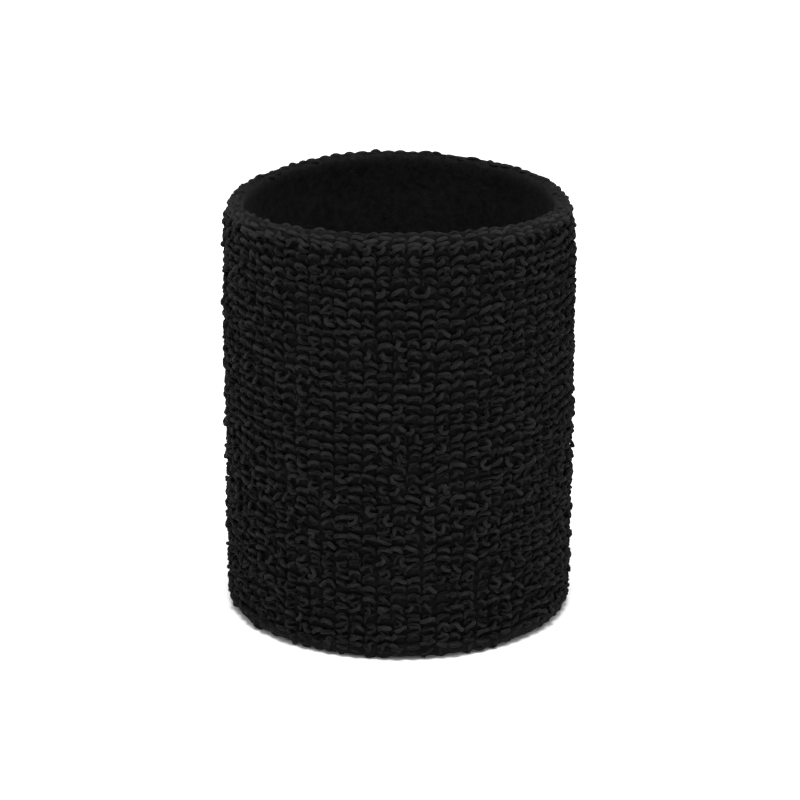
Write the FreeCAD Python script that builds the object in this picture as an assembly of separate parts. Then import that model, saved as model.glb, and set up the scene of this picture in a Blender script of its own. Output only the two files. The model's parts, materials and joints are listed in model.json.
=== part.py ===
"""Terry sweat wristband: a doubled tube of terry knit with elastic laid into it.

One knitted tube, twice as long as the band is wide, has both ends turned inside until they meet.
That makes an outer wall, a rounded fold at each end and an inner wall in two halves, the turn-ins,
which a flat seam closes half way up, on the side that lies on the wrist.
From a face inwards, the knit is a pile of cotton loops, then the plain ground knit that holds them,
then elastic thread laid into the back of the ground. The two backs face each other in the hollow.

The band stands on its lower fold. +Z runs along the arm, and the origin is the centre of the circle
that it stands on. Units are millimetres.
"""

import FreeCAD, Part
import math
import os

# Driving dimensions.
HEIGHT = 75.0  # along the arm, from the standing face to the crest of the upper fold
OUTER_DIAMETER = 62.0  # over the loops
PILE_DEPTH = 1.35  # how far the loops stand off the ground knit, on either face
GROUND_THICKNESS = 0.4
HOLLOW_GAP = 0.5  # between the two ground knits
FOLD_RISE = 3.6  # how far each fold's rounding reaches along the arm
STANDING_SQUASH = 0.25  # how far the lower fold's crest is flattened by standing on it

WALES = 76  # columns of loops around the band
COURSE_PITCH = 1.78  # height of one row of loops
ELASTIC_DIAMETER = 0.35
COURSES_PER_ELASTIC_TURN = 2
ELASTIC_END_MARGIN = 1.2  # knit left clear of elastic beside a fold or a seam

SEAM_WIDTH = 2.4  # strip with no loops, where the two turn-ins are joined
SEAM_THREAD_DIAMETER = 0.4
SEAM_STITCH_CLEARANCE = 0.1  # between a stitch's ends and the loops beside the seam
LOOPER_SPACING = 1.4  # between the two threads that run along the seam

# Places that follow from them. A half width is measured from the middle of the wall's thickness.
PILE_HALF_WIDTH = HOLLOW_GAP / 2 + GROUND_THICKNESS + PILE_DEPTH
GROUND_HALF_WIDTH = HOLLOW_GAP / 2 + GROUND_THICKNESS
HOLLOW_HALF_WIDTH = HOLLOW_GAP / 2
MID_RADIUS = OUTER_DIAMETER / 2 - PILE_HALF_WIDTH

WALL_BOTTOM = FOLD_RISE - STANDING_SQUASH
WALL_TOP = HEIGHT - FOLD_RISE
SEAM_HEIGHT = HEIGHT / 2
SEAM_GROUND_RADIUS = MID_RADIUS - GROUND_HALF_WIDTH
ELASTIC_PITCH = COURSES_PER_ELASTIC_TURN * COURSE_PITCH

OUTWARD, INWARD = 1, -1
UPWARD, DOWNWARD = 1, -1

ORIGIN = FreeCAD.Vector(0, 0, 0)
ARM_AXIS = FreeCAD.Vector(0, 0, 1)


def point(radius, height):
    """A point of the half section, which lies in the XZ plane."""
    return FreeCAD.Vector(radius, 0, height)


def line(start, end):
    return Part.LineSegment(start, end).toShape()


def revolved(edges):
    """The closed solid that a half section sweeps round the arm axis."""
    wire = Part.Wire(edges)
    return Part.Face(wire).revolve(ORIGIN, ARM_AXIS, 360)


def elastic_heights(bottom, top):
    """Heights of the elastic's turns, centred in a stretch of wall and clear of both its ends."""
    free = top - bottom - 2 * ELASTIC_END_MARGIN
    gaps = int(free / ELASTIC_PITCH)
    first = (bottom + top - gaps * ELASTIC_PITCH) / 2
    return [first + turn * ELASTIC_PITCH for turn in range(gaps + 1)]


def plain_wall(face_side, bottom, top):
    """The loops of one stretch of wall, on its outward or inward face."""
    back = MID_RADIUS + face_side * GROUND_HALF_WIDTH
    face = MID_RADIUS + face_side * PILE_HALF_WIDTH
    corners = [point(back, bottom), point(face, bottom), point(face, top), point(back, top)]
    return revolved([line(a, b) for a, b in zip(corners, corners[1:] + corners[:1])])


def grooved_wall(face_side, bottom, top):
    """The ground knit of one stretch of wall, with a half-round groove in its back for each elastic turn."""
    face = MID_RADIUS + face_side * GROUND_HALF_WIDTH
    back = MID_RADIUS + face_side * HOLLOW_HALF_WIDTH
    groove = ELASTIC_DIAMETER / 2
    edges = [line(point(back, bottom), point(face, bottom))]
    edges.append(line(point(face, bottom), point(face, top)))
    edges.append(line(point(face, top), point(back, top)))
    reached = point(back, top)
    for height in reversed(elastic_heights(bottom, top)):
        above, below = point(back, height + groove), point(back, height - groove)
        deepest = point(back + face_side * groove, height)
        edges.append(line(reached, above))
        edges.append(Part.Arc(above, deepest, below).toShape())
        reached = below
    edges.append(line(reached, point(back, bottom)))
    return revolved(edges)


def elastic_turns(face_side, bottom, top):
    """The turns of elastic thread that lie half sunk in the grooves of one ground knit."""
    radius = MID_RADIUS + face_side * HOLLOW_HALF_WIDTH
    turns = [
        Part.makeTorus(radius, ELASTIC_DIAMETER / 2, point(0, height), ARM_AXIS)
        for height in elastic_heights(bottom, top)
    ]
    return Part.makeCompound(turns)


def fold_arc(half_width, rise, wall_end, way):
    """Half an ellipse over a fold, from the end of one wall to the end of the other."""
    centre = point(MID_RADIUS, wall_end)
    crest = point(MID_RADIUS, wall_end + way * rise)
    flank = point(MID_RADIUS + half_width, wall_end)
    if rise >= half_width:
        tall = Part.Ellipse(crest, flank, centre)
        return Part.ArcOfEllipse(tall, -math.pi / 2, math.pi / 2).toShape()
    wide = Part.Ellipse(flank, crest, centre)
    return Part.ArcOfEllipse(wide, 0, math.pi).toShape()


def fold(outside, inside, wall_end, way):
    """One layer of a fold, between two half widths, with its rounding kept the same depth all over."""
    outer_rise = FOLD_RISE - (PILE_HALF_WIDTH - outside)
    inner_rise = FOLD_RISE - (PILE_HALF_WIDTH - inside)
    edges = [fold_arc(outside, outer_rise, wall_end, way), fold_arc(inside, inner_rise, wall_end, way)]
    for side in (INWARD, OUTWARD):
        start = point(MID_RADIUS + side * inside, wall_end)
        edges.append(line(start, point(MID_RADIUS + side * outside, wall_end)))
    return revolved(Part.sortEdges(edges)[0])


def standing_fold(layer):
    """A lower fold's layer, flattened where it would reach below the surface that the band stands on."""
    reach = OUTER_DIAMETER
    corner = FreeCAD.Vector(-reach / 2, -reach / 2, 0)
    return layer.common(Part.makeBox(reach, reach, HEIGHT, corner))


def seam_stitches():
    """One short stitch for each wale, laid across the joint between the two turn-ins."""
    length = SEAM_WIDTH - 2 * SEAM_STITCH_CLEARANCE
    thread = SEAM_THREAD_DIAMETER / 2
    foot = point(SEAM_GROUND_RADIUS - thread, SEAM_HEIGHT - length / 2)
    stitches = []
    for wale in range(WALES):
        stitch = Part.makeCylinder(thread, length, foot, ARM_AXIS)
        stitch.rotate(ORIGIN, ARM_AXIS, wale * 360 / WALES)
        stitches.append(stitch)
    return Part.makeCompound(stitches)


def looper_threads():
    """The two threads that run round along the seam and hold the stitches down."""
    thread = SEAM_THREAD_DIAMETER / 2
    radius = SEAM_GROUND_RADIUS - SEAM_THREAD_DIAMETER - thread
    threads = [
        Part.makeTorus(radius, thread, point(0, SEAM_HEIGHT + way * LOOPER_SPACING / 2), ARM_AXIS)
        for way in (DOWNWARD, UPWARD)
    ]
    return Part.makeCompound(threads)


def wristband():
    """Every sub-part by name."""
    seam_bottom = SEAM_HEIGHT - SEAM_WIDTH / 2
    seam_top = SEAM_HEIGHT + SEAM_WIDTH / 2
    pile = PILE_HALF_WIDTH, GROUND_HALF_WIDTH
    ground = GROUND_HALF_WIDTH, HOLLOW_HALF_WIDTH
    return {
        "outer_wall_pile": plain_wall(OUTWARD, WALL_BOTTOM, WALL_TOP),
        "upper_turn_in_pile": plain_wall(INWARD, seam_top, WALL_TOP),
        "lower_turn_in_pile": plain_wall(INWARD, WALL_BOTTOM, seam_bottom),
        "upper_fold_pile": fold(*pile, WALL_TOP, UPWARD),
        "lower_fold_pile": standing_fold(fold(*pile, WALL_BOTTOM, DOWNWARD)),
        "outer_wall_ground_knit": grooved_wall(OUTWARD, WALL_BOTTOM, WALL_TOP),
        "upper_turn_in_ground_knit": grooved_wall(INWARD, SEAM_HEIGHT, WALL_TOP),
        "lower_turn_in_ground_knit": grooved_wall(INWARD, WALL_BOTTOM, SEAM_HEIGHT),
        "upper_fold_ground_knit": fold(*ground, WALL_TOP, UPWARD),
        "lower_fold_ground_knit": standing_fold(fold(*ground, WALL_BOTTOM, DOWNWARD)),
        "outer_wall_elastic_thread": elastic_turns(OUTWARD, WALL_BOTTOM, WALL_TOP),
        "upper_turn_in_elastic_thread": elastic_turns(INWARD, SEAM_HEIGHT, WALL_TOP),
        "lower_turn_in_elastic_thread": elastic_turns(INWARD, WALL_BOTTOM, SEAM_HEIGHT),
        "closing_seam_stitches": seam_stitches(),
        "closing_seam_looper_threads": looper_threads(),
    }


os.makedirs("parts", exist_ok=True)
for name, shape in wristband().items():
    shape.exportStep(os.path.join("parts", name + ".step"))
    print(f"{name}: {len(shape.Solids)} solids, {shape.Volume:.1f} mm3, valid {shape.isValid()}")
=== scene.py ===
"""Terry sweat wristband: the look of it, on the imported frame.

Sizes are in metres. Places along the knit are measured along the half section of the ground knit, which
runs from the closing seam down the wrist side, round the standing fold, up the outer wall, over the
upper fold and down the wrist side to the seam again.
"""

import json
import math

import bpy
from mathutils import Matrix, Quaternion, Vector


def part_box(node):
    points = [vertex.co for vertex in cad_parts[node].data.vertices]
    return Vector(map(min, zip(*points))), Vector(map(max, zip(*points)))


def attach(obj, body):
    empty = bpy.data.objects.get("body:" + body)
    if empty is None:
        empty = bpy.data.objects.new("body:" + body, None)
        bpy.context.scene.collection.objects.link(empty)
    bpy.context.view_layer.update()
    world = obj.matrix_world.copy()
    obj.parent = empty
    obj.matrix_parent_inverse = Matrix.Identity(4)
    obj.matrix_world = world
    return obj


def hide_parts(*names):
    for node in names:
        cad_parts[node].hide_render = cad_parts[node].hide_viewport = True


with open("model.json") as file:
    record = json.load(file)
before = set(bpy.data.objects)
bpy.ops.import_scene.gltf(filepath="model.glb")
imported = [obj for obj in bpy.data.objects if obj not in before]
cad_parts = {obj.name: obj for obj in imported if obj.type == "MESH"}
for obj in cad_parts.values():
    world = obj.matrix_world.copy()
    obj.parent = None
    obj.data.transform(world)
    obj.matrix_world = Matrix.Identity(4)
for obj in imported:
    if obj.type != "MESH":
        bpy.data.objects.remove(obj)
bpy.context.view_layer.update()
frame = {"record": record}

MM = 0.001

# What the frame says.
OUTER_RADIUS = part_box("outer_wall_pile")[1].x
wrist_opening = next(m for m in frame["record"]["mounts"] if m["name"] == "wrist_opening")
WRIST_RADIUS = wrist_opening["dims"]["r_mm"] * MM
MID_RADIUS = (OUTER_RADIUS + WRIST_RADIUS) / 2
PILE_HALF = OUTER_RADIUS - MID_RADIUS
GROUND_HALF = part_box("outer_wall_ground_knit")[1].x - MID_RADIUS
HOLLOW_HALF = MID_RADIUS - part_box("upper_turn_in_ground_knit")[1].x
WALL_BOTTOM, WALL_TOP = (corner.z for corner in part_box("outer_wall_pile"))
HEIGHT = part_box("upper_fold_pile")[1].z
FOLD_RISE = HEIGHT - WALL_TOP
SEAM_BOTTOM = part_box("lower_turn_in_pile")[1].z
SEAM_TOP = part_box("upper_turn_in_pile")[0].z
SEAM_HEIGHT = (SEAM_BOTTOM + SEAM_TOP) / 2

# The knit.
WALES = 76  # columns of loops round the band
COURSE_PITCH = 1.78 * MM
YARN_DIAMETER = 0.7 * MM
COURSES_PER_ELASTIC_TURN = 2
ELASTIC_DIAMETER = 0.35 * MM
SEAM_THREAD_DIAMETER = 0.4 * MM
STITCH_LENGTH = 2.2 * MM
LOOPER_SPACING = 1.4 * MM  # between the two threads that run along the seam

# The slack tube: how far it lies off its nominal radius.
SLACK, TAPER = -0.63 * MM, 0.45 * MM
BELLY, BELLY_REACH, BELLY_POWER = 0.42 * MM, 0.78, 1.5
SHOULDER, DRAW_IN = 7.8 * MM, 0.85 * MM
SWELL, SWELL_PATCH = 0.5 * MM, 24 * MM
SIDE_DIP, CROSS_WAVE = 1.3 * MM, -0.15 * MM

# How finely the half section and the skins are divided.
FOLD_STEPS, WALL_STEPS, ROUND_STEPS = 24, 90, 216
THREAD_SIDES = 6
NEARLY = 0.001 * MM


# ---------------------------------------------------------------- helpers

def colour(code):
    """Linear colour, with alpha, from an sRGB hex value."""
    channels = [int(code[i:i + 2], 16) / 255 for i in (1, 3, 5)]
    return [c / 12.92 if c <= 0.04045 else ((c + 0.055) / 1.055) ** 2.4 for c in channels] + [1]


def add(tree, kind, inputs=None, **settings):
    """Adds a node with its settings, and gives each input a value, a node's first output or a socket."""
    node = tree.nodes.new(kind)
    for name, value in settings.items():
        setattr(node, name, value)
    for name, value in (inputs or {}).items():
        if isinstance(value, bpy.types.Node):
            tree.links.new(value.outputs[0], node.inputs[name])
        elif isinstance(value, bpy.types.NodeSocket):
            tree.links.new(value, node.inputs[name])
        else:
            node.inputs[name].default_value = value
    return node


def geometry_tree(name, inputs, outputs=("Geometry",)):
    """A Geometry Nodes tree with named inputs, and the outputs of its input node by name."""
    tree = bpy.data.node_groups.new(name, "GeometryNodeTree")
    kinds = {"Geometry": "NodeSocketGeometry", "Material": "NodeSocketMaterial",
             "Position": "NodeSocketVector", "Offset": "NodeSocketVector"}
    for title, value in inputs.items():
        kind = kinds.get(title) or ("NodeSocketInt" if isinstance(value, int) else "NodeSocketFloat")
        socket = tree.interface.new_socket(title, in_out="INPUT", socket_type=kind)
        if value is not None:
            socket.default_value = value
    for title in outputs:
        tree.interface.new_socket(title, in_out="OUTPUT", socket_type=kinds[title])
    return tree, tree.nodes.new("NodeGroupInput").outputs


def grown(name, start, tree, values):
    """The piece that a tree makes from a starting mesh, as a plain mesh with no modifier left on it."""
    piece = bpy.data.objects.new(name, start)
    modifier = piece.modifiers.new(tree.name, "NODES")
    modifier.node_group = tree
    for item in tree.interface.items_tree:
        if item.in_out == "INPUT" and item.name in values:
            modifier[item.identifier] = values[item.name]
    bpy.context.scene.collection.objects.link(piece)
    depsgraph = bpy.context.evaluated_depsgraph_get()
    made = bpy.data.meshes.new_from_object(
        piece.evaluated_get(depsgraph), preserve_all_data_layers=True, depsgraph=depsgraph)
    piece.modifiers.clear()
    piece.data = made
    made.name = name
    return piece


def mount(piece, slot, *nodes):
    """Puts a finished piece on the band and hides the CAD nodes it stands for."""
    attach(piece, "root")
    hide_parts(*nodes)
    return piece


# ---------------------------------------------------------------- the half section

def stretch(height):
    """How far the knit lies off its nominal radius at a height.

    It is slack, fuller above the middle, and drawn in over the last few millimetres below the rim.
    """
    along = min(max(height / HEIGHT, 0), 1)
    belly = BELLY * math.sin(math.pi * along * BELLY_REACH) ** BELLY_POWER
    drawn_in = min(max((height - (HEIGHT - SHOULDER)) / SHOULDER, 0), 1) ** 2
    return SLACK + belly + TAPER * (0.5 - along) - DRAW_IN * drawn_in


def section(half_width):
    """Points of the half section, half_width from the middle of the wall, from seam to seam."""
    rise = FOLD_RISE - (PILE_HALF - half_width)
    turn_in_steps = WALL_STEPS // 2
    fold_turns = [math.pi * i / FOLD_STEPS for i in range(FOLD_STEPS)]
    points = []
    for i in range(turn_in_steps):
        points.append((-half_width, SEAM_BOTTOM + (WALL_BOTTOM - SEAM_BOTTOM) * i / turn_in_steps))
    for turn in fold_turns:
        points.append((-half_width * math.cos(turn), WALL_BOTTOM - rise * math.sin(turn)))
    for i in range(WALL_STEPS):
        points.append((half_width, WALL_BOTTOM + (WALL_TOP - WALL_BOTTOM) * i / WALL_STEPS))
    for turn in fold_turns:
        points.append((half_width * math.cos(turn), WALL_TOP + rise * math.sin(turn)))
    for i in range(turn_in_steps + 1):
        points.append((-half_width, WALL_TOP + (SEAM_TOP - WALL_TOP) * i / turn_in_steps))
    return [Vector((MID_RADIUS + side + stretch(height), 0, height)) for side, height in points]


def line_mesh(name, points):
    """A mesh with nothing but a line through the points."""
    mesh = bpy.data.meshes.new(name)
    mesh.from_pydata(points, [(i, i + 1) for i in range(len(points) - 1)], [])
    return mesh


FACE_LINE = section(GROUND_HALF)
FACE_LENGTHS = [0]
for a, b in zip(FACE_LINE, FACE_LINE[1:]):
    FACE_LENGTHS.append(FACE_LENGTHS[-1] + (b - a).length)


def reached(test):
    """Length along the face line where test first holds."""
    return next(length for length, p in zip(FACE_LENGTHS, FACE_LINE) if test(p))


# ---------------------------------------------------------------- materials

def material(name):
    """A material with an empty tree, and that tree."""
    made = bpy.data.materials.new(name)
    made.use_nodes = True
    made.node_tree.nodes.clear()
    return made, made.node_tree


def terry_cotton():
    """Carded cotton, two plies loosely twisted, vat dyed black and never brushed.

    To the eye: quite matt, a soft grey bloom where loose fibre stands off at a grazing angle, faint
    rope-like ply lines, and loops that took the dye a little unevenly. Its colour also holds painted
    shade and a painted highlight.
    """
    made, tree = material("black carded cotton terry yarn")
    plies, ply_turn = 2, 2.4 * MM
    # Cotton fibres are 0.02 mm thick; clumps of them, 0.12 mm across, are what shows.
    fibre_clump = 0.24 * MM
    matted_clump = 1.1 * MM
    dye_patch = 9 * MM
    around = add(tree, "ShaderNodeAttribute", attribute_name="around")
    parts = add(tree, "ShaderNodeSeparateXYZ", {0: around.outputs["Vector"]})
    angle = add(tree, "ShaderNodeMath", {0: parts.outputs[1], 1: parts.outputs[0]}, operation="ARCTAN2")
    along = add(tree, "ShaderNodeAttribute", attribute_name="along")
    lay = add(tree, "ShaderNodeMath", {0: along.outputs["Fac"], 1: 2 * math.pi / ply_turn},
              operation="MULTIPLY")
    phase = add(tree, "ShaderNodeMath", {0: angle, 1: plies, 2: lay}, operation="MULTIPLY_ADD")
    ply = add(tree, "ShaderNodeMath", {0: phase}, operation="SINE")
    place = add(tree, "ShaderNodeTexCoord")
    fibre = add(tree, "ShaderNodeTexNoise", {
        "Vector": place.outputs["Object"], "Scale": 1 / fibre_clump, "Detail": 3, "Roughness": 0.65})
    relief = add(tree, "ShaderNodeMath", {0: ply, 1: 0.45, 2: fibre.outputs["Fac"]},
                 operation="MULTIPLY_ADD")
    bump = add(tree, "ShaderNodeBump", {"Strength": 0.9, "Distance": 0.15 * MM, "Height": relief})
    # Dye takes unevenly over patches of fabric, and from loop to loop. The loops' tone, added here, also
    # holds painted shade towards their feet, inside the band and between the rows, and a painted highlight
    # along the rim.
    dye = add(tree, "ShaderNodeTexNoise", {
        "Vector": place.outputs["Object"], "Scale": 1 / dye_patch, "Detail": 2, "Roughness": 0.5})
    tone = add(tree, "ShaderNodeAttribute", attribute_name="tone")
    mixed = add(tree, "ShaderNodeMath", {0: dye.outputs["Fac"], 1: 0.6, 2: tone.outputs["Fac"]},
                operation="MULTIPLY_ADD")
    # The grooves between the plies are painted darker, a painted shade; a clump of fibre here and there is
    # darker too.
    with_painted_groove_shade = add(tree, "ShaderNodeMath", {0: ply, 1: 0.3, 2: mixed}, operation="MULTIPLY_ADD")
    clump = add(tree, "ShaderNodeTexNoise", {
        "Vector": place.outputs["Object"], "Scale": 1 / matted_clump, "Detail": 3, "Roughness": 0.7})
    with_clumps = add(tree, "ShaderNodeMath", {0: clump.outputs["Fac"], 1: 2.2, 2: with_painted_groove_shade},
                      operation="MULTIPLY_ADD")
    ramp = add(tree, "ShaderNodeMapRange", {0: with_clumps, 1: 1.0, 2: 2.9, 3: 0.0, 4: 1.0})
    black = add(tree, "ShaderNodeMix", {"Factor": ramp}, data_type="RGBA")
    # Mix nodes of colours keep their colour sockets at 6 and 7, and the answer at output 2.
    black.inputs[6].default_value, black.inputs[7].default_value = colour("#080808"), colour("#242425")
    shader = add(tree, "ShaderNodeBsdfPrincipled",
                 {"Base Color": black.outputs[2], "Roughness": 0.95, "IOR": 1.5, "Specular IOR Level": 0.04,
                  "Sheen Weight": 0.035, "Sheen Roughness": 0.4, "Sheen Tint": colour("#d8d8da"),
                  "Normal": bump})
    add(tree, "ShaderNodeOutputMaterial", {"Surface": shader})
    return made


def jersey_nylon():
    """Textured nylon, knitted plain in a fine gauge and dyed black.

    To the eye: a tight row of small Vs under the loops, black, painted darker than the cotton as painted
    shade in the gaps between the loops, and very slightly shiny.
    """
    made, tree = material("black textured nylon plain knit")
    cell = add(tree, "ShaderNodeUVMap", uv_map="knit")
    parts = add(tree, "ShaderNodeSeparateXYZ", {0: cell})
    # Each stitch is a V: its arms rise from the middle of the wale to both sides.
    side = add(tree, "ShaderNodeMath", {0: parts.outputs[0], 1: 1.0}, operation="PINGPONG")
    rising = add(tree, "ShaderNodeMath", {0: side, 1: 0.8, 2: parts.outputs[1]}, operation="MULTIPLY_ADD")
    turn = add(tree, "ShaderNodeMath", {0: rising, 1: 2 * math.pi}, operation="MULTIPLY")
    arm = add(tree, "ShaderNodeMath", {0: turn}, operation="SINE")
    rib = add(tree, "ShaderNodeMath", {0: parts.outputs[0], 1: 2 * math.pi}, operation="MULTIPLY")
    wale = add(tree, "ShaderNodeMath", {0: rib}, operation="COSINE")
    relief = add(tree, "ShaderNodeMath", {0: arm, 1: 0.7, 2: wale}, operation="MULTIPLY_ADD")
    bump = add(tree, "ShaderNodeBump", {"Strength": 0.7, "Distance": 0.12 * MM, "Height": relief})
    # The low parts of the relief are painted darker: painted shade in the grooves between the Vs.
    depth = add(tree, "ShaderNodeMapRange", {0: relief, 1: -1.7, 2: 1.7, 3: 0.0, 4: 1.0})
    black = add(tree, "ShaderNodeMix", {"Factor": depth}, data_type="RGBA")
    black.inputs[6].default_value, black.inputs[7].default_value = colour("#040404"), colour("#131314")
    shader = add(tree, "ShaderNodeBsdfPrincipled",
                 {"Base Color": black.outputs[2], "Roughness": 0.8, "IOR": 1.53, "Specular IOR Level": 0.05,
                  "Normal": bump})
    add(tree, "ShaderNodeOutputMaterial", {"Surface": shader})
    return made


def covered_elastic():
    """Elastane wrapped in black nylon, laid straight into the knit.

    To the eye: a thin round cord with a fine, slightly shiny wrap across it.
    """
    made, tree = material("nylon covered elastane thread")
    wrap_pitch = 0.3 * MM
    place = add(tree, "ShaderNodeTexCoord")
    parts = add(tree, "ShaderNodeSeparateXYZ", {0: place.outputs["Object"]})
    angle = add(tree, "ShaderNodeMath", {0: parts.outputs[1], 1: parts.outputs[0]}, operation="ARCTAN2")
    wraps = round(2 * math.pi * MID_RADIUS / wrap_pitch)
    turns = add(tree, "ShaderNodeMath", {0: angle, 1: wraps}, operation="MULTIPLY")
    wrap = add(tree, "ShaderNodeMath", {0: turns}, operation="SINE")
    bump = add(tree, "ShaderNodeBump", {"Strength": 0.8, "Distance": 0.05 * MM, "Height": wrap})
    # The grooves of the wrap are painted darker: painted shade.
    tone = add(tree, "ShaderNodeMapRange", {0: wrap, 1: -1.0, 2: 1.0, 3: 0.0, 4: 1.0})
    black = add(tree, "ShaderNodeMix", {"Factor": tone}, data_type="RGBA")
    black.inputs[6].default_value, black.inputs[7].default_value = colour("#121213"), colour("#2a2a2b")
    shader = add(tree, "ShaderNodeBsdfPrincipled",
                 {"Base Color": black.outputs[2], "Roughness": 0.45, "IOR": 1.52, "Specular IOR Level": 0.4,
                  "Normal": bump})
    add(tree, "ShaderNodeOutputMaterial", {"Surface": shader})
    return made


def spun_polyester():
    """Spun polyester sewing thread, three plies, dyed black.

    To the eye: hard twisted and a little glossier than the cotton, so the closing seam reads as a flat
    ladder of fine threads.
    """
    made, tree = material("black spun polyester sewing thread")
    plies, ply_turn = 3, 0.9 * MM
    around = add(tree, "ShaderNodeAttribute", attribute_name="around")
    parts = add(tree, "ShaderNodeSeparateXYZ", {0: around.outputs["Vector"]})
    angle = add(tree, "ShaderNodeMath", {0: parts.outputs[1], 1: parts.outputs[0]}, operation="ARCTAN2")
    along = add(tree, "ShaderNodeAttribute", attribute_name="along")
    lay = add(tree, "ShaderNodeMath", {0: along.outputs["Fac"], 1: 2 * math.pi / ply_turn},
              operation="MULTIPLY")
    phase = add(tree, "ShaderNodeMath", {0: angle, 1: plies, 2: lay}, operation="MULTIPLY_ADD")
    ply = add(tree, "ShaderNodeMath", {0: phase}, operation="SINE")
    bump = add(tree, "ShaderNodeBump", {"Strength": 0.8, "Distance": 0.04 * MM, "Height": ply})
    # The grooves between the plies are painted darker: painted shade.
    tone = add(tree, "ShaderNodeMapRange", {0: ply, 1: -1.0, 2: 1.0, 3: 0.0, 4: 1.0})
    black = add(tree, "ShaderNodeMix", {"Factor": tone}, data_type="RGBA")
    black.inputs[6].default_value, black.inputs[7].default_value = colour("#0a0a0a"), colour("#161617")
    shader = add(tree, "ShaderNodeBsdfPrincipled",
                 {"Base Color": black.outputs[2], "Roughness": 0.6, "IOR": 1.54, "Specular IOR Level": 0.15,
                  "Normal": bump})
    add(tree, "ShaderNodeOutputMaterial", {"Surface": shader})
    return made


COTTON, NYLON, ELASTIC, THREAD = terry_cotton(), jersey_nylon(), covered_elastic(), spun_polyester()


# ---------------------------------------------------------------- trees

def unevenness_tree():
    """How far a point of the fabric lies off its true place.

    The wall swells and sinks a little, softly. The rim dips at its two sides, as on a band that was packed
    flat, and is a touch lower at its near left and far right. Both fade away towards the standing edge.
    """
    tree, given = geometry_tree(
        "Soft unevenness",
        {"Position": None, "Swell": SWELL, "Side dip": SIDE_DIP, "Cross wave": CROSS_WAVE}, ("Offset",))
    broad = add(tree, "ShaderNodeTexNoise",
                {"Vector": given["Position"], "Scale": 1 / SWELL_PATCH, "Detail": 1})
    centred = add(tree, "ShaderNodeVectorMath", {0: broad.outputs["Color"], 1: (0.5, 0.5, 0.5)},
                  operation="SUBTRACT")
    swell = add(tree, "ShaderNodeVectorMath", {0: centred, "Scale": given["Swell"]}, operation="SCALE")
    flat = add(tree, "ShaderNodeVectorMath", {0: given["Position"], 1: (1, 1, 0)}, operation="MULTIPLY")
    round_it = add(tree, "ShaderNodeVectorMath", {0: flat}, operation="NORMALIZE")
    sides = add(tree, "ShaderNodeSeparateXYZ", {0: round_it})
    whole = add(tree, "ShaderNodeSeparateXYZ", {0: given["Position"]})
    sideways = add(tree, "ShaderNodeMath", {0: sides.outputs[0], 1: sides.outputs[0]}, operation="MULTIPLY")
    crosswise = add(tree, "ShaderNodeMath", {0: sides.outputs[0], 1: sides.outputs[1]}, operation="MULTIPLY")
    dip = add(tree, "ShaderNodeMath", {0: sideways, 1: given["Side dip"]}, operation="MULTIPLY")
    wave = add(tree, "ShaderNodeMath", {0: crosswise, 1: given["Cross wave"]}, operation="MULTIPLY")
    rim = add(tree, "ShaderNodeMath", {0: wave, 1: dip}, operation="SUBTRACT")
    share = add(tree, "ShaderNodeMath", {0: whole.outputs[2], 1: HEIGHT}, operation="DIVIDE")
    fading = add(tree, "ShaderNodeMath", {0: share, 1: 2.0}, operation="POWER")
    lift = add(tree, "ShaderNodeMath", {0: rim, 1: fading}, operation="MULTIPLY")
    upward = add(tree, "ShaderNodeCombineXYZ", {2: lift})
    offset = add(tree, "ShaderNodeVectorMath", {0: swell, 1: upward}, operation="ADD")
    add(tree, "NodeGroupOutput", {0: offset})
    return tree


UNEVENNESS = unevenness_tree()


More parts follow.
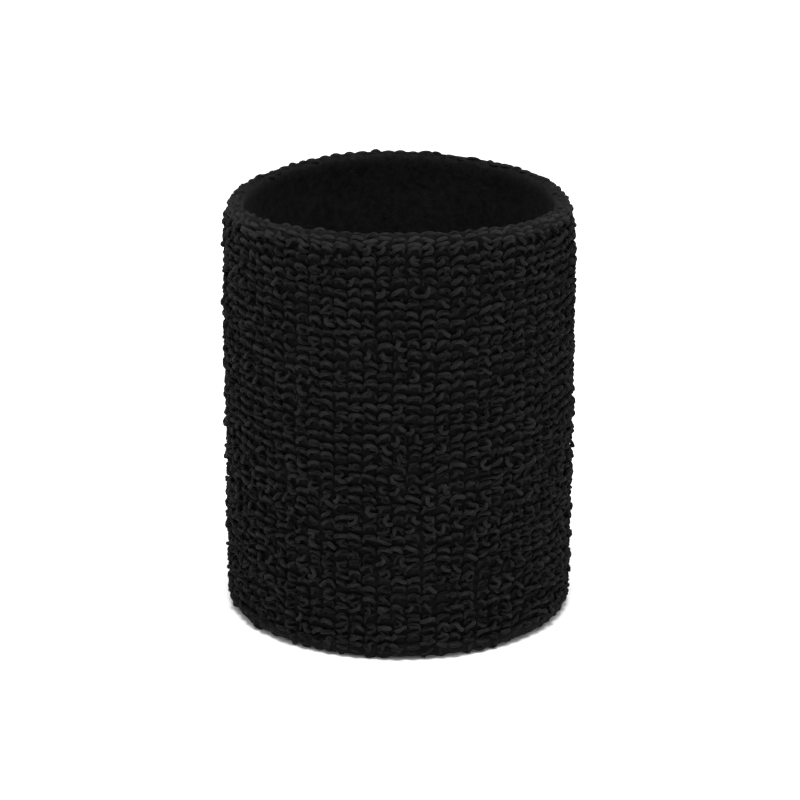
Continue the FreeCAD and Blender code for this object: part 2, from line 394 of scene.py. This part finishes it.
def loops_tree():
    """Rows of terry loops on a stretch of the half section.

    Each stitch gets a place on the knit. A straight bit of yarn is put there, then bent into its own
    arch: two feet in the ground, a crown that leans over and turns, and a thickness of its own.
    The spreads say how far a loop may be from the usual one. Start is the place of row 0 on the section.
    """
    tree, given = geometry_tree("Terry loops", {
        "Geometry": None, "Material": None,
        "Rows": 10, "First row": 0, "Wales": WALES, "Start": 0.0, "Course pitch": COURSE_PITCH,
        "Yarn diameter": YARN_DIAMETER, "Loop width": 1.95 * MM, "Loop height": 1.25 * MM,
        "Foot depth": 0.25 * MM, "Lean": -0.95, "Lean spread": 0.16, "Turn spread": 2.1, "Sway spread": 0.3,
        "Size spread": 0.22, "Swell": SWELL, "Drift": 1.5 * MM, "Tone": 0.62, "Painted root shade": 0.35,
        "Floor": 0.0, "Seed": 7,
    })
    bends = 9
    drift_patch = 6 * MM  # stitches this near to each other drift and turn together
    bulge, crown_flatness = 0.22, 0.7
    height_share = 0.6  # of the size spread, that the height takes
    shared_turn = 1.1
    foot_thickness, crown_thickness, thickness_spread = 0.72, 0.3, 0.12
    tone_spread = 0.3

    # Where each stitch is: its row along the section, and its wale round the band.
    stitches = add(tree, "ShaderNodeMath", {0: given["Rows"], 1: given["Wales"]}, operation="MULTIPLY")
    number = add(tree, "GeometryNodeInputIndex")
    row_share = add(tree, "ShaderNodeMath", {0: number, 1: given["Wales"]}, operation="DIVIDE")
    row_here = add(tree, "ShaderNodeMath", {0: row_share}, operation="FLOOR")
    row = add(tree, "ShaderNodeMath", {0: row_here, 1: given["First row"]}, operation="ADD")
    wale = add(tree, "ShaderNodeMath", {0: number, 1: given["Wales"]}, operation="FLOORED_MODULO")
    identity = add(tree, "ShaderNodeMath", {0: row, 1: given["Wales"], 2: wale}, operation="MULTIPLY_ADD")
    length = add(tree, "ShaderNodeMath", {0: row, 1: given["Course pitch"], 2: given["Start"]},
                 operation="MULTIPLY_ADD")
    share = add(tree, "ShaderNodeMath", {0: wale, 1: given["Wales"]}, operation="DIVIDE")
    turn = add(tree, "ShaderNodeMath", {0: share, 1: 2 * math.pi}, operation="MULTIPLY")
    line = add(tree, "GeometryNodeMeshToCurve", {0: given["Geometry"]})
    on_line = add(tree, "GeometryNodeSampleCurve", {"Curves": line, "Length": length}, mode="LENGTH")
    place_there = add(tree, "ShaderNodeVectorRotate", {"Vector": on_line.outputs["Position"], "Angle": turn},
                      rotation_type="Z_AXIS")

    # The wales and courses drift: neighbours together, by a fraction of a stitch.
    drift = add(tree, "ShaderNodeTexNoise", {"Vector": place_there, "Scale": 1 / drift_patch, "Detail": 2})
    drift_centred = add(tree, "ShaderNodeVectorMath", {0: drift.outputs["Color"], 1: (0.5, 0.5, 0.5)},
                        operation="SUBTRACT")
    drift_parts = add(tree, "ShaderNodeSeparateXYZ", {0: drift_centred})
    length_off = add(tree, "ShaderNodeMath", {0: drift_parts.outputs[0], 1: given["Drift"], 2: length},
                     operation="MULTIPLY_ADD")
    turn_by = add(tree, "ShaderNodeMath", {0: given["Drift"], 1: MID_RADIUS}, operation="DIVIDE")
    turn_off = add(tree, "ShaderNodeMath", {0: drift_parts.outputs[1], 1: turn_by, 2: turn},
                   operation="MULTIPLY_ADD")
    found = add(tree, "GeometryNodeSampleCurve", {"Curves": line, "Length": length_off}, mode="LENGTH")
    place = add(tree, "ShaderNodeVectorRotate", {"Vector": found.outputs["Position"], "Angle": turn_off},
                rotation_type="Z_AXIS")
    uneven = add(tree, "GeometryNodeGroup", node_tree=UNEVENNESS)
    tree.links.new(place.outputs[0], uneven.inputs["Position"])
    tree.links.new(given["Swell"], uneven.inputs["Swell"])
    place_uneven = add(tree, "ShaderNodeVectorMath", {0: place, 1: uneven}, operation="ADD")
    up = add(tree, "ShaderNodeVectorRotate", {"Vector": found.outputs["Tangent"], "Angle": turn_off},
             rotation_type="Z_AXIS")
    out_section = add(tree, "ShaderNodeVectorMath", {0: (0, 1, 0), 1: found.outputs["Tangent"]},
                      operation="CROSS_PRODUCT")
    out = add(tree, "ShaderNodeVectorRotate", {"Vector": out_section, "Angle": turn_off},
              rotation_type="Z_AXIS")
    facing = add(tree, "FunctionNodeAxesToRotation", {"Primary Axis": out, "Secondary Axis": up},
                 primary_axis="Z", secondary_axis="Y")

    # Each stitch's own chances, from -1 to 1.
    other_seed = add(tree, "ShaderNodeMath", {0: given["Seed"], 1: 10}, operation="MULTIPLY")
    chances = [
        add(tree, "FunctionNodeRandomValue", {0: (-1, -1, -1), 1: (1, 1, 1), "ID": identity, "Seed": seed},
            data_type="FLOAT_VECTOR")
        for seed in (given["Seed"], other_seed)
    ]

    points = add(tree, "GeometryNodePoints", {"Count": stitches})
    kept = points
    for title, kind, value in (
            ("place", "FLOAT_VECTOR", place_uneven), ("facing", "QUATERNION", facing),
            ("shape chance", "FLOAT_VECTOR", chances[0]), ("pose chance", "FLOAT_VECTOR", chances[1]),
            ("region", "FLOAT_VECTOR", drift_centred)):
        kept = add(tree, "GeometryNodeStoreNamedAttribute",
                   {"Geometry": kept, "Name": title, "Value": value}, data_type=kind, domain="POINT")

    # A straight bit of yarn for each.
    straight = add(tree, "GeometryNodeMeshLine", {"Count": bends + 1, "Offset": (0.1 * MM, 0, 0)})
    copies = add(tree, "GeometryNodeInstanceOnPoints", {"Points": kept, "Instance": straight})
    realised = add(tree, "GeometryNodeRealizeInstances", {0: copies})
    yarns = add(tree, "GeometryNodeMeshToCurve", {0: realised})

    # Bend it.
    read = {
        title: add(tree, "GeometryNodeInputNamedAttribute", {"Name": title}, data_type=kind)
        for title, kind in (("place", "FLOAT_VECTOR"), ("facing", "QUATERNION"),
                            ("shape chance", "FLOAT_VECTOR"), ("pose chance", "FLOAT_VECTOR"),
                            ("region", "FLOAT_VECTOR"))
    }
    shape = add(tree, "ShaderNodeSeparateXYZ", {0: read["shape chance"]})
    pose = add(tree, "ShaderNodeSeparateXYZ", {0: read["pose chance"]})
    region = add(tree, "ShaderNodeSeparateXYZ", {0: read["region"]})
    along = add(tree, "GeometryNodeSplineParameter")
    half_turn = add(tree, "ShaderNodeMath", {0: along.outputs["Factor"], 1: math.pi}, operation="MULTIPLY")
    rise = add(tree, "ShaderNodeMath", {0: half_turn}, operation="SINE")
    across = add(tree, "ShaderNodeMath", {0: half_turn}, operation="COSINE")
    size = add(tree, "ShaderNodeMath", {0: shape.outputs[0], 1: given["Size spread"], 2: 1.0},
               operation="MULTIPLY_ADD")
    height_spread = add(tree, "ShaderNodeMath", {0: given["Size spread"], 1: height_share},
                        operation="MULTIPLY")
    tall = add(tree, "ShaderNodeMath", {0: shape.outputs[1], 1: height_spread, 2: 1.0},
               operation="MULTIPLY_ADD")
    half_width = add(tree, "ShaderNodeMath", {0: given["Loop width"], 1: -0.5}, operation="MULTIPLY")
    reach = add(tree, "ShaderNodeMath", {0: size, 1: half_width}, operation="MULTIPLY")
    belly = add(tree, "ShaderNodeMath", {0: rise, 1: bulge, 2: 1.0}, operation="MULTIPLY_ADD")
    reach_there = add(tree, "ShaderNodeMath", {0: reach, 1: belly}, operation="MULTIPLY")
    x = add(tree, "ShaderNodeMath", {0: reach_there, 1: across}, operation="MULTIPLY")
    flat_top = add(tree, "ShaderNodeMath", {0: rise, 1: crown_flatness}, operation="POWER")
    height = add(tree, "ShaderNodeMath", {0: given["Loop height"], 1: given["Foot depth"]}, operation="ADD")
    height_here = add(tree, "ShaderNodeMath", {0: height, 1: tall}, operation="MULTIPLY")
    z = add(tree, "ShaderNodeMath", {0: height_here, 1: flat_top}, operation="MULTIPLY")
    arch = add(tree, "ShaderNodeCombineXYZ", {0: x, 2: z})
    # The crown turns on its feet: most a little, a few right round.
    squared = add(tree, "ShaderNodeMath", {0: pose.outputs[0], 1: pose.outputs[0]}, operation="MULTIPLY")
    cubed = add(tree, "ShaderNodeMath", {0: squared, 1: pose.outputs[0]}, operation="MULTIPLY")
    own_turn = add(tree, "ShaderNodeMath", {0: cubed, 1: given["Turn spread"]}, operation="MULTIPLY")
    region_turn = add(tree, "ShaderNodeMath", {0: region.outputs[2], 1: shared_turn, 2: own_turn},
                      operation="MULTIPLY_ADD")
    crown_turn = add(tree, "ShaderNodeMath", {0: region_turn, 1: rise}, operation="MULTIPLY")
    twisted = add(tree, "ShaderNodeVectorRotate", {"Vector": arch, "Angle": crown_turn},
                  rotation_type="Z_AXIS")
    # It leans along the section, which is up the outer wall where the lean is negative. It also sways
    # a little to one side.
    lean = add(tree, "ShaderNodeMath", {0: pose.outputs[1], 1: given["Lean spread"], 2: given["Lean"]},
               operation="MULTIPLY_ADD")
    leaning = add(tree, "ShaderNodeVectorRotate", {"Vector": twisted, "Angle": lean}, rotation_type="X_AXIS")
    sway = add(tree, "ShaderNodeMath", {0: pose.outputs[2], 1: given["Sway spread"]}, operation="MULTIPLY")
    swayed = add(tree, "ShaderNodeVectorRotate", {"Vector": leaning, "Angle": sway}, rotation_type="Y_AXIS")
    sunk_by = add(tree, "ShaderNodeMath", {0: given["Foot depth"], 1: -1.0}, operation="MULTIPLY")
    sunk_vector = add(tree, "ShaderNodeCombineXYZ", {2: sunk_by})
    sunk = add(tree, "ShaderNodeVectorMath", {0: swayed, 1: sunk_vector}, operation="ADD")
    faced = add(tree, "FunctionNodeRotateVector", {"Vector": sunk, "Rotation": read["facing"]})
    there = add(tree, "ShaderNodeVectorMath", {0: faced, 1: read["place"]}, operation="ADD")
    # Nothing sinks below what the band stands on.
    there_parts = add(tree, "ShaderNodeSeparateXYZ", {0: there})
    lowest = add(tree, "ShaderNodeMath", {0: given["Yarn diameter"], 1: 0.5, 2: given["Floor"]},
                 operation="MULTIPLY_ADD")
    above = add(tree, "ShaderNodeMath", {0: there_parts.outputs[2], 1: lowest}, operation="MAXIMUM")
    final = add(tree, "ShaderNodeCombineXYZ",
                {0: there_parts.outputs[0], 1: there_parts.outputs[1], 2: above})
    bent = add(tree, "GeometryNodeSetPosition", {"Geometry": yarns, "Position": final})

    # Give it its thickness: fuller at the crown, thinner where it dives into the ground.
    full = add(tree, "ShaderNodeMath", {0: rise, 1: crown_thickness, 2: foot_thickness},
               operation="MULTIPLY_ADD")
    own = add(tree, "ShaderNodeMath", {0: shape.outputs[2], 1: thickness_spread, 2: 1.0},
              operation="MULTIPLY_ADD")
    half_yarn = add(tree, "ShaderNodeMath", {0: given["Yarn diameter"], 1: 0.5}, operation="MULTIPLY")
    thick = add(tree, "ShaderNodeMath", {0: full, 1: own}, operation="MULTIPLY")
    radius = add(tree, "ShaderNodeMath", {0: thick, 1: half_yarn}, operation="MULTIPLY")
    measured = add(tree, "GeometryNodeSplineParameter")
    with_along = add(tree, "GeometryNodeStoreNamedAttribute",
                     {"Geometry": bent, "Name": "along", "Value": measured.outputs["Length"]},
                     data_type="FLOAT", domain="POINT")
    own_tone = add(tree, "ShaderNodeMath", {0: shape.outputs[2], 1: tone_spread, 2: given["Tone"]},
                   operation="MULTIPLY_ADD")
    # Towards its feet a loop is painted darker: painted shade where the loops crowd into the ground.
    below_crown = add(tree, "ShaderNodeMath", {0: 1.0, 1: rise}, operation="SUBTRACT")
    root = add(tree, "ShaderNodeMath", {0: below_crown, 1: given["Painted root shade"]}, operation="MULTIPLY")
    tone = add(tree, "ShaderNodeMath", {0: own_tone, 1: root}, operation="SUBTRACT")
    with_tone = add(tree, "GeometryNodeStoreNamedAttribute",
                    {"Geometry": with_along, "Name": "tone", "Value": tone},
                    data_type="FLOAT", domain="POINT")
    round_line = add(tree, "GeometryNodeCurvePrimitiveCircle", {"Resolution": THREAD_SIDES, "Radius": 1.0})
    round_place = add(tree, "GeometryNodeInputPosition")
    with_around = add(tree, "GeometryNodeStoreNamedAttribute",
                      {"Geometry": round_line, "Name": "around", "Value": round_place},
                      data_type="FLOAT_VECTOR", domain="POINT")
    solid = add(tree, "GeometryNodeCurveToMesh",
                {"Curve": with_tone, "Profile Curve": with_around, "Scale": radius, "Fill Caps": True})
    smooth = add(tree, "GeometryNodeSetShadeSmooth", {"Geometry": solid})
    cleaned = smooth
    for title in read:
        cleaned = add(tree, "GeometryNodeRemoveAttribute", {"Geometry": cleaned, "Name": title})
    whole = add(tree, "GeometryNodeRealizeInstances", {0: cleaned})
    dressed = add(tree, "GeometryNodeSetMaterial", {"Geometry": whole, "Material": given["Material"]})
    add(tree, "NodeGroupOutput", {0: dressed})
    return tree


# ---------------------------------------------------------------- the pile

LOOPS = loops_tree()
UPPER_CREST = reached(lambda p: p.z > WALL_TOP and p.x < MID_RADIUS + stretch(p.z) + NEARLY)
LOWER_CREST = reached(lambda p: p.z < WALL_BOTTOM and p.x > MID_RADIUS + stretch(p.z) - NEARLY)
PITCH = (UPPER_CREST - LOWER_CREST) / round((UPPER_CREST - LOWER_CREST) / COURSE_PITCH)
CLEAR_OF_SEAM = 0.3 * COURSE_PITCH
ABOVE_SEAM = int((LOWER_CREST - CLEAR_OF_SEAM) / PITCH)  # rows between the seam and the standing fold
START = LOWER_CREST - ABOVE_SEAM * PITCH
UPPER_ROW = ABOVE_SEAM + round((UPPER_CREST - LOWER_CREST) / PITCH)
LAST_ROW = UPPER_ROW + ABOVE_SEAM
MIDDLE_ROW = (ABOVE_SEAM + UPPER_ROW) // 2
# The outer rows start lower, by as much as their crowns lean up.
LEANED_UP = 1.2 * MM

# The outer loops lie over upwards, one beside the next, and are more tangled further down the wall.
OUTER = {"Start": START - LEANED_UP, "Turn spread": 2.4, "Drift": 1.7 * MM}
TANGLED = {**OUTER, "Lean spread": 0.4, "Turn spread": 4.2, "Sway spread": 0.55, "Size spread": 0.28,
           "Drift": 2.4 * MM}
# Shorter ones of a thinner yarn fill in between their rows. Their low Tone paints them darker: painted shade
# between the rows.
SECOND = {"Start": START - LEANED_UP + 0.45 * PITCH, "Loop width": 1.6 * MM, "Loop height": 0.8 * MM,
          "Yarn diameter": 0.55 * MM, "Lean": -0.5, "Lean spread": 0.5, "Turn spread": 3.0,
          "Drift": 2.0 * MM, "Tone": 0.3, "Painted root shade": 0.3, "Seed": 23}
# Those on the wrist side are worn flat. Their low Tone paints them darker: painted shade inside the band.
WRIST = {"Start": START - 0.4 * PITCH, "Loop width": 2.1 * MM, "Loop height": 0.34 * MM,
         "Yarn diameter": 0.9 * MM, "Lean": 0.5, "Lean spread": 0.05, "Turn spread": 0.6,
         "Sway spread": 0.1, "Size spread": 0.06, "Tone": 0.2, "Painted root shade": 0.0}
# At the rim they are drawn together, so that they stand up more and catch the light. Their high Tone also
# paints them lighter: a painted highlight along the rim.
EDGE = {"Loop width": 2.0 * MM, "Loop height": 0.75 * MM, "Yarn diameter": 0.75 * MM, "Lean": -0.4,
        "Lean spread": 0.4, "Turn spread": 1.0, "Sway spread": 0.2, "Size spread": 0.15, "Tone": 1.1,
        "Painted root shade": 0.2}
EDGE_SECOND = {**EDGE, "Start": START + 0.5 * PITCH, "Yarn diameter": 0.7 * MM, "Seed": 31}
CREST = {**EDGE, "Loop height": 0.55 * MM, "Yarn diameter": 0.8 * MM, "Lean": 0.0, "Size spread": 0.3,
         "Tone": 0.5}
# Those that the band stands on are pushed every way.
STANDING = {"Loop width": 2.0 * MM, "Loop height": 0.75 * MM, "Yarn diameter": 0.75 * MM, "Lean": 0.0,
            "Lean spread": 0.7, "Turn spread": 3.0, "Drift": 2.4 * MM, "Tone": 0.5}
STANDING_SECOND = {**STANDING, "Start": START + 0.5 * PITCH, "Loop height": 0.6 * MM,
                   "Yarn diameter": 0.65 * MM, "Seed": 41}

for name, first, end, nodes, manner in (
        ("lower_turn_in_loops", 0, ABOVE_SEAM - 1, ["lower_turn_in_pile"], WRIST),
        ("lower_fold_loops", ABOVE_SEAM - 1, ABOVE_SEAM + 2, ["lower_fold_pile"], STANDING),
        ("lower_fold_second_loops", ABOVE_SEAM - 1, ABOVE_SEAM + 1, ["lower_fold_pile"], STANDING_SECOND),
        ("outer_wall_lower_loops", ABOVE_SEAM + 2, MIDDLE_ROW, ["outer_wall_pile"], TANGLED),
        ("outer_wall_upper_loops", MIDDLE_ROW, UPPER_ROW, ["outer_wall_pile"], OUTER),
        ("outer_wall_lower_second_loops", ABOVE_SEAM + 1, MIDDLE_ROW, ["outer_wall_pile"], SECOND),
        ("outer_wall_upper_second_loops", MIDDLE_ROW, UPPER_ROW - 1, ["outer_wall_pile"], SECOND),
        ("upper_edge_loops", UPPER_ROW - 1, UPPER_ROW, ["upper_fold_pile"], EDGE),
        ("upper_edge_second_loops", UPPER_ROW - 1, UPPER_ROW, ["upper_fold_pile"], EDGE_SECOND),
        ("upper_crest_loops", UPPER_ROW, UPPER_ROW + 1, ["upper_fold_pile"], CREST),
        ("upper_turn_in_loops", UPPER_ROW + 1, LAST_ROW + 1, ["upper_turn_in_pile"], WRIST)):
    piece = grown(name, line_mesh(name, FACE_LINE), LOOPS, {
        "Material": COTTON, "Rows": end - first, "First row": first, "Start": START, "Course pitch": PITCH,
        **manner})
    mount(piece, "cotton_pile", *nodes)


# ---------------------------------------------------------------- the ground knit and the matted pile

def turned(name, outline):
    """A closed skin: an outline of the half section, swept round the arm axis.

    Its UV map counts stitches: wales one way and courses the other.
    """
    lengths = [0]
    for a, b in zip(outline, outline[1:] + outline[:1]):
        lengths.append(lengths[-1] + (b - a).length)
    count = len(outline)
    points, faces, cells = [], [], []
    for i in range(ROUND_STEPS):
        turn = 2 * math.pi * i / ROUND_STEPS
        points += [(p.x * math.cos(turn), p.x * math.sin(turn), p.z) for p in outline]
    for i in range(ROUND_STEPS):
        here, there = i * count, (i + 1) % ROUND_STEPS * count
        u0, u1 = i * WALES / ROUND_STEPS, (i + 1) * WALES / ROUND_STEPS
        for j in range(count):
            onwards = (j + 1) % count
            faces.append((here + j, there + j, there + onwards, here + onwards))
            v0, v1 = lengths[j] / COURSE_PITCH, lengths[j + 1] / COURSE_PITCH
            cells += [(u0, v0), (u1, v0), (u1, v1), (u0, v1)]
    mesh = bpy.data.meshes.new(name)
    mesh.from_pydata(points, [], faces)
    layer = mesh.uv_layers.new(name="knit")
    for spot, cell in zip(layer.data, cells):
        spot.uv = cell
    return mesh


def ground_knit():
    """The knitted tube itself, doubled on itself: a face and a back."""
    face, back = section(GROUND_HALF), section(HOLLOW_HALF)
    face[0].z = face[-1].z = back[0].z = back[-1].z = SEAM_HEIGHT
    face[-1].x, back[-1].x = face[0].x, back[0].x
    return turned("ground_knit", face[:-1] + list(reversed(back[1:])))


def matted_pile(name, start, end, depth):
    """Loose fibre that fills the gaps between the loops, on a stretch of the face line.

    It thins out towards both ends of the stretch, and its back is sunk in the ground knit.
    """
    thinning, sunk, off_the_table = 1.2 * MM, 0.15 * MM, 0.15 * MM
    inner, outer = [], []
    for i in range(1, len(FACE_LINE) - 1):
        if start <= FACE_LENGTHS[i] <= end:
            tangent = (FACE_LINE[i + 1] - FACE_LINE[i - 1]).normalized()
            out = Vector((tangent.z, 0, -tangent.x))
            from_end = min(FACE_LENGTHS[i] - start, end - FACE_LENGTHS[i])
            here = depth * min(1, from_end / thinning) ** 0.5
            outer.append(FACE_LINE[i] + out * here)
            inner.append(FACE_LINE[i] - out * sunk)
    for p in outer:
        p.z = max(p.z, off_the_table)
    return turned(name, outer + list(reversed(inner)))


def skin_tree():
    """A smooth skin that lies as unevenly as the rest of the fabric, with one tone all over."""
    tree, given = geometry_tree(
        "Skin", {"Geometry": None, "Material": None, "Swell": SWELL, "Tone": 0.3})
    place = add(tree, "GeometryNodeInputPosition")
    uneven = add(tree, "GeometryNodeGroup", node_tree=UNEVENNESS)
    tree.links.new(place.outputs[0], uneven.inputs["Position"])
    tree.links.new(given["Swell"], uneven.inputs["Swell"])
    moved = add(tree, "GeometryNodeSetPosition", {"Geometry": given["Geometry"], "Offset": uneven})
    toned = add(tree, "GeometryNodeStoreNamedAttribute",
                {"Geometry": moved, "Name": "tone", "Value": given["Tone"]},
                data_type="FLOAT", domain="POINT")
    smooth = add(tree, "GeometryNodeSetShadeSmooth", {"Geometry": toned})
    whole = add(tree, "GeometryNodeRealizeInstances", {0: smooth})
    dressed = add(tree, "GeometryNodeSetMaterial", {"Geometry": whole, "Material": given["Material"]})
    add(tree, "NodeGroupOutput", {0: dressed})
    return tree


SKIN = skin_tree()
ground = grown("ground_knit", ground_knit(), SKIN, {"Material": NYLON})
mount(ground, "ground_knit", *(part + "_ground_knit" for part in (
    "outer_wall", "upper_turn_in", "lower_turn_in", "upper_fold", "lower_fold")))
# The low tones paint the matted pile darker: painted shade inside the band and in the gaps at the folds.
for name, start, end, depth, tone, nodes in (
        ("lower_turn_in_matted_pile", 0, LOWER_CREST - 0.3 * MM, 0.74 * MM, 0.18, ["lower_turn_in_pile"]),
        ("lower_fold_matted_pile", LOWER_CREST - 2.0 * MM, LOWER_CREST + 2.4 * MM, 0.7 * MM, -0.25,
         ["lower_fold_pile"]),
        ("upper_fold_matted_pile", UPPER_CREST - 2.2 * MM, UPPER_CREST + 1.4 * MM, 0.6 * MM, -0.1,
         ["upper_fold_pile"]),
        ("upper_turn_in_matted_pile", UPPER_CREST - 0.6 * MM, FACE_LENGTHS[-1], 0.74 * MM, 0.18,
         ["upper_turn_in_pile"])):
    piece = grown(name, matted_pile(name, start, end, depth), SKIN, {"Material": COTTON, "Tone": tone})
    mount(piece, "cotton_pile", *nodes)


# ---------------------------------------------------------------- elastic and seam

SEAM_RADIUS = MID_RADIUS - GROUND_HALF + stretch(SEAM_HEIGHT)


def ring(radius, height):
    """One turn of thread round the band: its points, and the edges between them."""
    steps = 2 * WALES
    turns = [2 * math.pi * i / steps for i in range(steps)]
    points = [(radius * math.cos(turn), radius * math.sin(turn), height) for turn in turns]
    return points, [(i, (i + 1) % steps) for i in range(steps)]


def threads_mesh(name, threads):
    """One mesh of lines for several threads, each given as its points and the edges between them."""
    points, edges = [], []
    for thread_points, thread_edges in threads:
        edges += [(a + len(points), b + len(points)) for a, b in thread_edges]
        points += thread_points
    mesh = bpy.data.meshes.new(name)
    mesh.from_pydata(points, edges, [])
    return mesh


def threads_tree():
    """Round threads along the edges of a mesh, which lie as unevenly as the knit they are in."""
    tree, given = geometry_tree("Threads", {
        "Geometry": None, "Material": None, "Thread diameter": SEAM_THREAD_DIAMETER, "Swell": SWELL})
    place = add(tree, "GeometryNodeInputPosition")
    uneven = add(tree, "GeometryNodeGroup", node_tree=UNEVENNESS)
    tree.links.new(place.outputs[0], uneven.inputs["Position"])
    tree.links.new(given["Swell"], uneven.inputs["Swell"])
    moved = add(tree, "GeometryNodeSetPosition", {"Geometry": given["Geometry"], "Offset": uneven})
    lines = add(tree, "GeometryNodeMeshToCurve", {0: moved})
    measured = add(tree, "GeometryNodeSplineParameter")
    with_along = add(tree, "GeometryNodeStoreNamedAttribute",
                     {"Geometry": lines, "Name": "along", "Value": measured.outputs["Length"]},
                     data_type="FLOAT", domain="POINT")
    round_line = add(tree, "GeometryNodeCurvePrimitiveCircle", {"Resolution": THREAD_SIDES, "Radius": 1.0})
    round_place = add(tree, "GeometryNodeInputPosition")
    with_around = add(tree, "GeometryNodeStoreNamedAttribute",
                      {"Geometry": round_line, "Name": "around", "Value": round_place},
                      data_type="FLOAT_VECTOR", domain="POINT")
    radius = add(tree, "ShaderNodeMath", {0: given["Thread diameter"], 1: 0.5}, operation="MULTIPLY")
    solid = add(tree, "GeometryNodeCurveToMesh",
                {"Curve": with_along, "Profile Curve": with_around, "Scale": radius, "Fill Caps": True})
    smooth = add(tree, "GeometryNodeSetShadeSmooth", {"Geometry": solid})
    whole = add(tree, "GeometryNodeRealizeInstances", {0: smooth})
    dressed = add(tree, "GeometryNodeSetMaterial", {"Geometry": whole, "Material": given["Material"]})
    add(tree, "NodeGroupOutput", {0: dressed})
    return tree


THREADS = threads_tree()

for part, side in (("outer_wall", 1), ("upper_turn_in", -1), ("lower_turn_in", -1)):
    node_name = part + "_elastic_thread"
    lowest, highest = (corner.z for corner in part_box(node_name))
    lowest, highest = lowest + ELASTIC_DIAMETER / 2, highest - ELASTIC_DIAMETER / 2
    gaps = round((highest - lowest) / (COURSES_PER_ELASTIC_TURN * COURSE_PITCH))
    heights = [lowest + (highest - lowest) * i / gaps for i in range(gaps + 1)]
    turns = [ring(MID_RADIUS + side * HOLLOW_HALF + stretch(height), height) for height in heights]
    piece = grown(node_name + "_turns", threads_mesh(node_name, turns), THREADS,
                  {"Material": ELASTIC, "Thread diameter": ELASTIC_DIAMETER})
    mount(piece, "elastic_thread", node_name)

stitches = []
for i in range(WALES):
    turn, radius = 2 * math.pi * i / WALES, SEAM_RADIUS - SEAM_THREAD_DIAMETER / 2
    x, y = radius * math.cos(turn), radius * math.sin(turn)
    stitches.append(([(x, y, SEAM_HEIGHT + share * STITCH_LENGTH) for share in (-0.5, -0.25, 0, 0.25, 0.5)],
                     [(0, 1), (1, 2), (2, 3), (3, 4)]))
LOOPER_RADIUS = SEAM_RADIUS - 1.5 * SEAM_THREAD_DIAMETER
loopers = [ring(LOOPER_RADIUS, SEAM_HEIGHT + way * LOOPER_SPACING / 2) for way in (-1, 1)]
for node_name, threads in (("closing_seam_stitches", stitches), ("closing_seam_looper_threads", loopers)):
    piece = grown(node_name + "_thread", threads_mesh(node_name, threads), THREADS,
                  {"Material": THREAD, "Thread diameter": SEAM_THREAD_DIAMETER})
    mount(piece, "seam_thread", node_name)


# ---------------------------------------------------------------- studio

def studio():
    """White paper under a soft box, with a white room round it."""
    room = bpy.data.worlds.new("white room")
    bpy.context.scene.world = room
    room.use_nodes = True
    room.node_tree.nodes.clear()
    light = add(room.node_tree, "ShaderNodeBackground", {"Color": colour("#ffffff"), "Strength": 0.8})
    add(room.node_tree, "ShaderNodeOutputWorld", {"Surface": light})

    made, tree = material("matt white paper sweep")
    shader = add(tree, "ShaderNodeBsdfPrincipled",
                 {"Base Color": colour("#fafafa"), "Roughness": 0.9, "Specular IOR Level": 0.1})
    add(tree, "ShaderNodeOutputMaterial", {"Surface": shader})
    mesh = bpy.data.meshes.new("paper_sweep")
    reach = 6.0
    corners = [(-reach, -reach, 0), (reach, -reach, 0), (reach, reach, 0), (-reach, reach, 0)]
    mesh.from_pydata(corners, [], [(0, 1, 2, 3)])
    mesh.materials.append(made)
    sweep = bpy.data.objects.new("paper_sweep", mesh)
    bpy.context.scene.collection.objects.link(sweep)

    lamp = bpy.data.lights.new("top soft box", "AREA")
    lamp.shape, lamp.size, lamp.energy = "SQUARE", 0.6, 28.0
    holder = bpy.data.objects.new("top soft box", lamp)
    holder.location = (0.0, -0.35, 1.5)
    aim = Vector((0, 0, HEIGHT / 2)) - holder.location
    holder.rotation_euler = aim.to_track_quat("-Z", "Y").to_euler()
    bpy.context.scene.collection.objects.link(holder)


def camera():
    """A long lens, half a metre off and 18.5 degrees above the band."""
    lens = bpy.data.cameras.new("camera")
    lens.sensor_width, lens.lens = 36, 134.1
    lens.clip_start, lens.clip_end = 0.05, 50
    lens.shift_x, lens.shift_y = 0.001125, -0.006625
    holder = bpy.data.objects.new("camera", lens)
    distance, climb, roll = 0.520, 0.323, 0.002
    centre = Vector((0, 0, HEIGHT / 2))
    holder.location = centre + Vector((0, -math.cos(climb), math.sin(climb))) * distance
    aim = (centre - holder.location).to_track_quat("-Z", "Y")
    holder.rotation_euler = (aim @ Quaternion((0, 0, 1), roll)).to_euler()
    bpy.context.scene.collection.objects.link(holder)
    bpy.context.scene.camera = holder


studio()
camera()
bpy.context.scene.view_settings.view_transform = "Standard"
